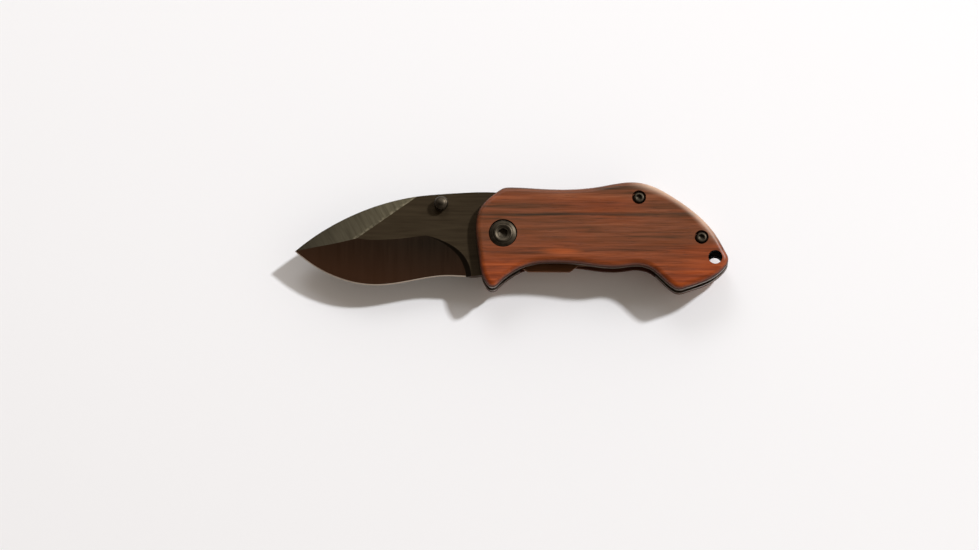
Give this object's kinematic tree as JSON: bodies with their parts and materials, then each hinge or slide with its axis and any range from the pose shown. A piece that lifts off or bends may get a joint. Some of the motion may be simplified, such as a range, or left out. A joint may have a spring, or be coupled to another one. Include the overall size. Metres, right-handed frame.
{
  "type": "folding pocket knife",
  "caption": "Folding pocket knife with wooden handle scales, a dark ground blade with a thumb stud, a liner lock, a lanyard hole and a pocket clip, stored with its blade open.",
  "frame": {"origin": "middle of the open knife's bounding box, on the surface that it lies on", "axes": "+X from the blade's tip to the handle's butt, +Y towards the blade's spine, +Z out of the front face, along the pivot"},
  "size_m": [0.1563, 0.0396, 0.0156],
  "materials": {
    "rosewood": "oiled, satin",
    "liner_steel": "satin, blanked",
    "blade_steel": "blackened, ground",
    "blackened_steel": "black oxide",
    "plain_steel": "turned",
    "washer_bronze": "rolled"
  },
  "bodies": {
    "handle": {"front_scale": "rosewood", "rear_scale": "rosewood", "front_liner": "liner_steel", "rear_liner": "liner_steel", "pivot_screw_front": "blackened_steel", "pivot_screw_rear": "blackened_steel", "pivot_barrel": "plain_steel", "front_washer": "washer_bronze", "rear_washer": "washer_bronze", "stop_pin": "plain_steel", "spine_standoff": "plain_steel", "butt_standoff": "plain_steel", "spine_screw_front": "blackened_steel", "spine_screw_rear": "blackened_steel", "butt_screw_front": "blackened_steel", "butt_screw_rear": "blackened_steel", "pocket_clip": "blackened_steel", "clip_screw_front": "blackened_steel", "clip_screw_back": "blackened_steel"},
    "folding_blade": {"blade": "blade_steel", "thumb_stud_front": "blackened_steel", "thumb_stud_rear": "blackened_steel"},
    "liner_lock": {"lock_bar": "liner_steel"}
  },
  "joints": [
    {"name": "blade_fold", "type": "hinge", "parent": "handle", "child": "folding_blade", "pos_m": [-0.00305, 0.00075, 0.0094], "axis": [0, 0, 1], "range_deg": [0, 167], "deforming": ["lock_bar"]},
    {"name": "lock_flex", "type": "hinge", "parent": "handle", "child": "liner_lock", "pos_m": [0.05195, -0.00545, 0.007], "axis": [0, -1, 0], "range_deg": [0, 1.31]}
  ],
  "couplings": [
    {"joint": "lock_flex", "follows": "blade_fold", "ratio": 0.0078437}
  ]
}
